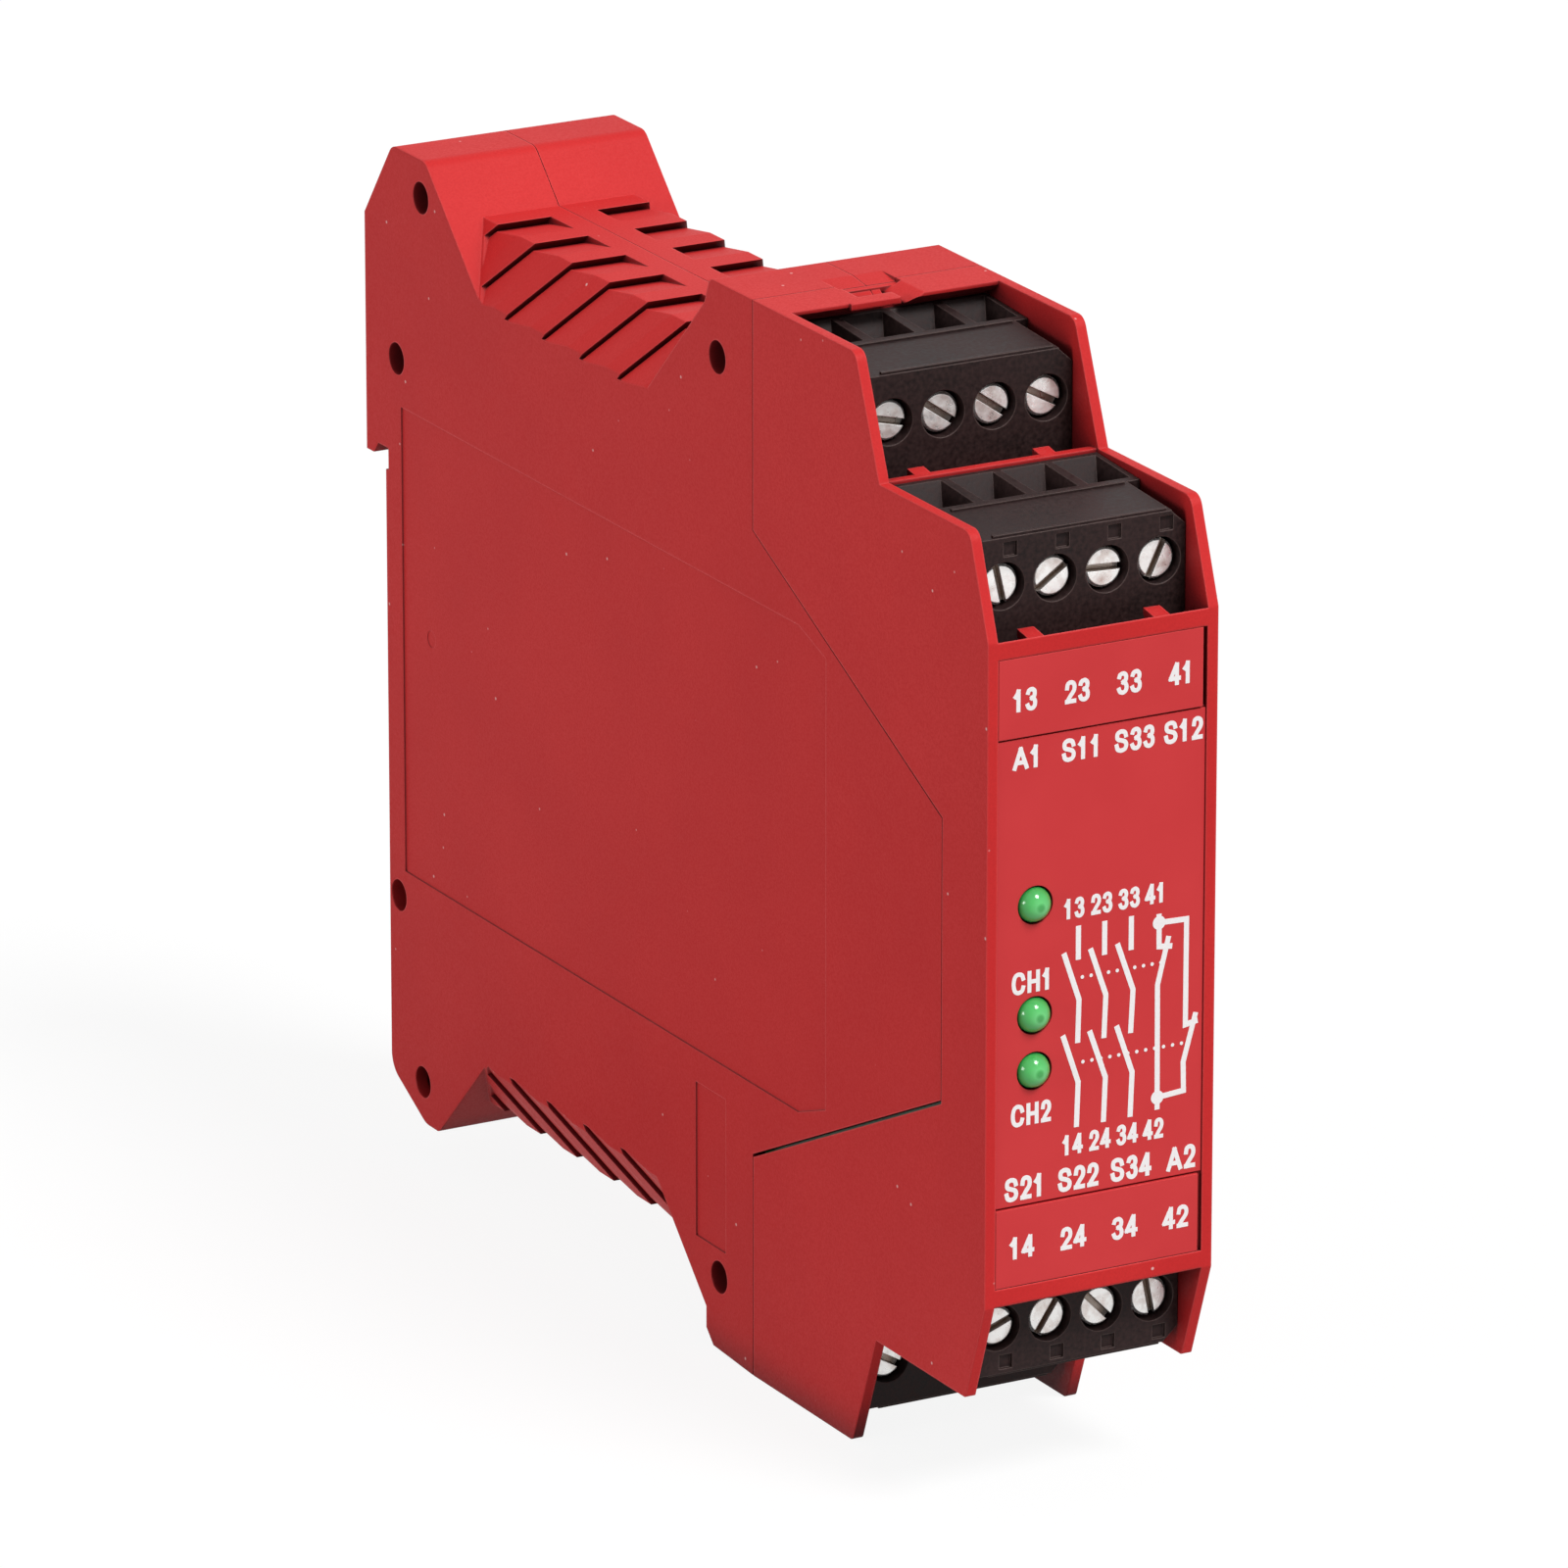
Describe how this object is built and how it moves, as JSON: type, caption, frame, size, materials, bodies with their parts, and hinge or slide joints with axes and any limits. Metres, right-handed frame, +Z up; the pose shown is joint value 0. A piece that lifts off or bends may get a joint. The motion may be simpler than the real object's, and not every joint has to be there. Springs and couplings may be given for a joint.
{
  "type": "safety relay",
  "caption": "Narrow red safety relay for a mounting rail: moulded louvred case, stepped rows of screw clamp terminals, front label with indicators and contact diagram.",
  "frame": {"origin": "on the seat plane of the mounting rail, at the middle of the case's width and of the 35 mm rail's height", "axes": "X across the width, +Y towards the rail, +Z up; the front face looks to -Y"},
  "size_m": [0.0226, 0.1154, 0.099],
  "materials": {
    "case_red": "fine moulded grain",
    "cap_red": "fine moulded grain",
    "label_red": "satin printed film",
    "strip_red": "satin printed film",
    "terminal_black": "moulded polyamide",
    "screw_steel": "bright zinc plate",
    "cage_steel": "zinc plated",
    "contact_tin": "tin plated",
    "latch_plastic": "moulded polyamide",
    "spring_steel": "drawn spring wire",
    "board_green": "solder resist",
    "relay_case": "smooth moulded cover",
    "capacitor_can": "sleeved can",
    "choke_ferrite": "pressed ferrite",
    "fuse_resin": "dipped resin",
    "chip_epoxy": "moulded epoxy",
    "led_green": "tinted clear resin",
    "lead_tin": "tinned wire",
    "print_white": "screen print"
  },
  "bodies": {
    "housing": {"base_left_shell": "case_red", "base_right_shell": "case_red", "front_cap": "cap_red", "front_label": "label_red", "marker_strip_upper": "strip_red", "marker_strip_lower": "strip_red", "terminal_block_upper_rear": "terminal_black", "terminal_block_upper_front": "terminal_black", "terminal_block_lower_front": "terminal_black", "terminal_block_lower_rear": "terminal_black", "contacts_upper_rear": "contact_tin", "contacts_upper_front": "contact_tin", "contacts_lower_front": "contact_tin", "contacts_lower_rear": "contact_tin", "latch_spring": "spring_steel", "main_board": "board_green", "relay_upper": "relay_case", "relay_lower": "relay_case", "capacitor_upper": "capacitor_can", "capacitor_lower": "capacitor_can", "power_choke": "choke_ferrite", "resettable_fuse": "fuse_resin", "logic_chips": "chip_epoxy", "led_power": "led_green", "led_channel_1": "led_green", "led_channel_2": "led_green", "led_leads": "lead_tin"},
    "screw_upper_rear_1": {"screw_upper_rear_1": "screw_steel"},
    "cage_upper_rear_1": {"cage_upper_rear_1": "cage_steel"},
    "screw_upper_rear_2": {"screw_upper_rear_2": "screw_steel"},
    "cage_upper_rear_2": {"cage_upper_rear_2": "cage_steel"},
    "screw_upper_rear_3": {"screw_upper_rear_3": "screw_steel"},
    "cage_upper_rear_3": {"cage_upper_rear_3": "cage_steel"},
    "screw_upper_rear_4": {"screw_upper_rear_4": "screw_steel"},
    "cage_upper_rear_4": {"cage_upper_rear_4": "cage_steel"},
    "screw_upper_front_1": {"screw_upper_front_1": "screw_steel"},
    "cage_upper_front_1": {"cage_upper_front_1": "cage_steel"},
    "screw_upper_front_2": {"screw_upper_front_2": "screw_steel"},
    "cage_upper_front_2": {"cage_upper_front_2": "cage_steel"},
    "screw_upper_front_3": {"screw_upper_front_3": "screw_steel"},
    "cage_upper_front_3": {"cage_upper_front_3": "cage_steel"},
    "screw_upper_front_4": {"screw_upper_front_4": "screw_steel"},
    "cage_upper_front_4": {"cage_upper_front_4": "cage_steel"},
    "screw_lower_front_1": {"screw_lower_front_1": "screw_steel"},
    "cage_lower_front_1": {"cage_lower_front_1": "cage_steel"},
    "screw_lower_front_2": {"screw_lower_front_2": "screw_steel"},
    "cage_lower_front_2": {"cage_lower_front_2": "cage_steel"},
    "screw_lower_front_3": {"screw_lower_front_3": "screw_steel"},
    "cage_lower_front_3": {"cage_lower_front_3": "cage_steel"},
    "screw_lower_front_4": {"screw_lower_front_4": "screw_steel"},
    "cage_lower_front_4": {"cage_lower_front_4": "cage_steel"},
    "screw_lower_rear_1": {"screw_lower_rear_1": "screw_steel"},
    "cage_lower_rear_1": {"cage_lower_rear_1": "cage_steel"},
    "screw_lower_rear_2": {"screw_lower_rear_2": "screw_steel"},
    "cage_lower_rear_2": {"cage_lower_rear_2": "cage_steel"},
    "screw_lower_rear_3": {"screw_lower_rear_3": "screw_steel"},
    "cage_lower_rear_3": {"cage_lower_rear_3": "cage_steel"},
    "screw_lower_rear_4": {"screw_lower_rear_4": "screw_steel"},
    "cage_lower_rear_4": {"cage_lower_rear_4": "cage_steel"},
    "foot_latch": {"foot_latch": "latch_plastic"}
  },
  "joints": [
    {"name": "screw_upper_rear_1_turn", "type": "hinge", "parent": "housing", "child": "screw_upper_rear_1", "pos_m": [-0.00762, -0.0876, 0.0427], "axis": [0, 1, 0], "range_deg": [0, 2000]},
    {"name": "cage_upper_rear_1_lift", "type": "slide", "parent": "housing", "child": "cage_upper_rear_1", "axis": [0, -1, 0], "range_m": [0, 0.0025]},
    {"name": "screw_upper_rear_2_turn", "type": "hinge", "parent": "housing", "child": "screw_upper_rear_2", "pos_m": [-0.00254, -0.0876, 0.0427], "axis": [0, 1, 0], "range_deg": [0, 2000]},
    {"name": "cage_upper_rear_2_lift", "type": "slide", "parent": "housing", "child": "cage_upper_rear_2", "axis": [0, -1, 0], "range_m": [0, 0.0025]},
    {"name": "screw_upper_rear_3_turn", "type": "hinge", "parent": "housing", "child": "screw_upper_rear_3", "pos_m": [0.00254, -0.0876, 0.0427], "axis": [0, 1, 0], "range_deg": [0, 2000]},
    {"name": "cage_upper_rear_3_lift", "type": "slide", "parent": "housing", "child": "cage_upper_rear_3", "axis": [0, -1, 0], "range_m": [0, 0.0025]},
    {"name": "screw_upper_rear_4_turn", "type": "hinge", "parent": "housing", "child": "screw_upper_rear_4", "pos_m": [0.00762, -0.0876, 0.0427], "axis": [0, 1, 0], "range_deg": [0, 2000]},
    {"name": "cage_upper_rear_4_lift", "type": "slide", "parent": "housing", "child": "cage_upper_rear_4", "axis": [0, -1, 0], "range_m": [0, 0.0025]},
    {"name": "screw_upper_front_1_turn", "type": "hinge", "parent": "housing", "child": "screw_upper_front_1", "pos_m": [-0.00762, -0.10686, 0.03335], "axis": [0, 1, 0], "range_deg": [0, 2000]},
    {"name": "cage_upper_front_1_lift", "type": "slide", "parent": "housing", "child": "cage_upper_front_1", "axis": [0, -1, 0], "range_m": [0, 0.0025]},
    {"name": "screw_upper_front_2_turn", "type": "hinge", "parent": "housing", "child": "screw_upper_front_2", "pos_m": [-0.00254, -0.10686, 0.03335], "axis": [0, 1, 0], "range_deg": [0, 2000]},
    {"name": "cage_upper_front_2_lift", "type": "slide", "parent": "housing", "child": "cage_upper_front_2", "axis": [0, -1, 0], "range_m": [0, 0.0025]},
    {"name": "screw_upper_front_3_turn", "type": "hinge", "parent": "housing", "child": "screw_upper_front_3", "pos_m": [0.00254, -0.10686, 0.03335], "axis": [0, 1, 0], "range_deg": [0, 2000]},
    {"name": "cage_upper_front_3_lift", "type": "slide", "parent": "housing", "child": "cage_upper_front_3", "axis": [0, -1, 0], "range_m": [0, 0.0025]},
    {"name": "screw_upper_front_4_turn", "type": "hinge", "parent": "housing", "child": "screw_upper_front_4", "pos_m": [0.00762, -0.10686, 0.03335], "axis": [0, 1, 0], "range_deg": [0, 2000]},
    {"name": "cage_upper_front_4_lift", "type": "slide", "parent": "housing", "child": "cage_upper_front_4", "axis": [0, -1, 0], "range_m": [0, 0.0025]},
    {"name": "screw_lower_front_1_turn", "type": "hinge", "parent": "housing", "child": "screw_lower_front_1", "pos_m": [-0.00762, -0.10686, -0.03335], "axis": [0, 1, 0], "range_deg": [0, 2000]},
    {"name": "cage_lower_front_1_lift", "type": "slide", "parent": "housing", "child": "cage_lower_front_1", "axis": [0, -1, 0], "range_m": [0, 0.0025]},
    {"name": "screw_lower_front_2_turn", "type": "hinge", "parent": "housing", "child": "screw_lower_front_2", "pos_m": [-0.00254, -0.10686, -0.03335], "axis": [0, 1, 0], "range_deg": [0, 2000]},
    {"name": "cage_lower_front_2_lift", "type": "slide", "parent": "housing", "child": "cage_lower_front_2", "axis": [0, -1, 0], "range_m": [0, 0.0025]},
    {"name": "screw_lower_front_3_turn", "type": "hinge", "parent": "housing", "child": "screw_lower_front_3", "pos_m": [0.00254, -0.10686, -0.03335], "axis": [0, 1, 0], "range_deg": [0, 2000]},
    {"name": "cage_lower_front_3_lift", "type": "slide", "parent": "housing", "child": "cage_lower_front_3", "axis": [0, -1, 0], "range_m": [0, 0.0025]},
    {"name": "screw_lower_front_4_turn", "type": "hinge", "parent": "housing", "child": "screw_lower_front_4", "pos_m": [0.00762, -0.10686, -0.03335], "axis": [0, 1, 0], "range_deg": [0, 2000]},
    {"name": "cage_lower_front_4_lift", "type": "slide", "parent": "housing", "child": "cage_lower_front_4", "axis": [0, -1, 0], "range_m": [0, 0.0025]},
    {"name": "screw_lower_rear_1_turn", "type": "hinge", "parent": "housing", "child": "screw_lower_rear_1", "pos_m": [-0.00762, -0.0876, -0.0427], "axis": [0, 1, 0], "range_deg": [0, 2000]},
    {"name": "cage_lower_rear_1_lift", "type": "slide", "parent": "housing", "child": "cage_lower_rear_1", "axis": [0, -1, 0], "range_m": [0, 0.0025]},
    {"name": "screw_lower_rear_2_turn", "type": "hinge", "parent": "housing", "child": "screw_lower_rear_2", "pos_m": [-0.00254, -0.0876, -0.0427], "axis": [0, 1, 0], "range_deg": [0, 2000]},
    {"name": "cage_lower_rear_2_lift", "type": "slide", "parent": "housing", "child": "cage_lower_rear_2", "axis": [0, -1, 0], "range_m": [0, 0.0025]},
    {"name": "screw_lower_rear_3_turn", "type": "hinge", "parent": "housing", "child": "screw_lower_rear_3", "pos_m": [0.00254, -0.0876, -0.0427], "axis": [0, 1, 0], "range_deg": [0, 2000]},
    {"name": "cage_lower_rear_3_lift", "type": "slide", "parent": "housing", "child": "cage_lower_rear_3", "axis": [0, -1, 0], "range_m": [0, 0.0025]},
    {"name": "screw_lower_rear_4_turn", "type": "hinge", "parent": "housing", "child": "screw_lower_rear_4", "pos_m": [0.00762, -0.0876, -0.0427], "axis": [0, 1, 0], "range_deg": [0, 2000]},
    {"name": "cage_lower_rear_4_lift", "type": "slide", "parent": "housing", "child": "cage_lower_rear_4", "axis": [0, -1, 0], "range_m": [0, 0.0025]},
    {"name": "foot_latch_pull", "type": "slide", "parent": "housing", "child": "foot_latch", "axis": [0, 0, -1], "range_m": [0, 0.004], "stiffness_N_per_m": 800, "springref_m": -0.003, "deforming": ["latch_spring"]}
  ],
  "couplings": [
    {"joint": "screw_upper_rear_1_turn", "follows": "cage_upper_rear_1_lift", "rad_per_m": 13963},
    {"joint": "screw_upper_rear_2_turn", "follows": "cage_upper_rear_2_lift", "rad_per_m": 13963},
    {"joint": "screw_upper_rear_3_turn", "follows": "cage_upper_rear_3_lift", "rad_per_m": 13963},
    {"joint": "screw_upper_rear_4_turn", "follows": "cage_upper_rear_4_lift", "rad_per_m": 13963},
    {"joint": "screw_upper_front_1_turn", "follows": "cage_upper_front_1_lift", "rad_per_m": 13963},
    {"joint": "screw_upper_front_2_turn", "follows": "cage_upper_front_2_lift", "rad_per_m": 13963},
    {"joint": "screw_upper_front_3_turn", "follows": "cage_upper_front_3_lift", "rad_per_m": 13963},
    {"joint": "screw_upper_front_4_turn", "follows": "cage_upper_front_4_lift", "rad_per_m": 13963},
    {"joint": "screw_lower_front_1_turn", "follows": "cage_lower_front_1_lift", "rad_per_m": 13963},
    {"joint": "screw_lower_front_2_turn", "follows": "cage_lower_front_2_lift", "rad_per_m": 13963},
    {"joint": "screw_lower_front_3_turn", "follows": "cage_lower_front_3_lift", "rad_per_m": 13963},
    {"joint": "screw_lower_front_4_turn", "follows": "cage_lower_front_4_lift", "rad_per_m": 13963},
    {"joint": "screw_lower_rear_1_turn", "follows": "cage_lower_rear_1_lift", "rad_per_m": 13963},
    {"joint": "screw_lower_rear_2_turn", "follows": "cage_lower_rear_2_lift", "rad_per_m": 13963},
    {"joint": "screw_lower_rear_3_turn", "follows": "cage_lower_rear_3_lift", "rad_per_m": 13963},
    {"joint": "screw_lower_rear_4_turn", "follows": "cage_lower_rear_4_lift", "rad_per_m": 13963}
  ]
}
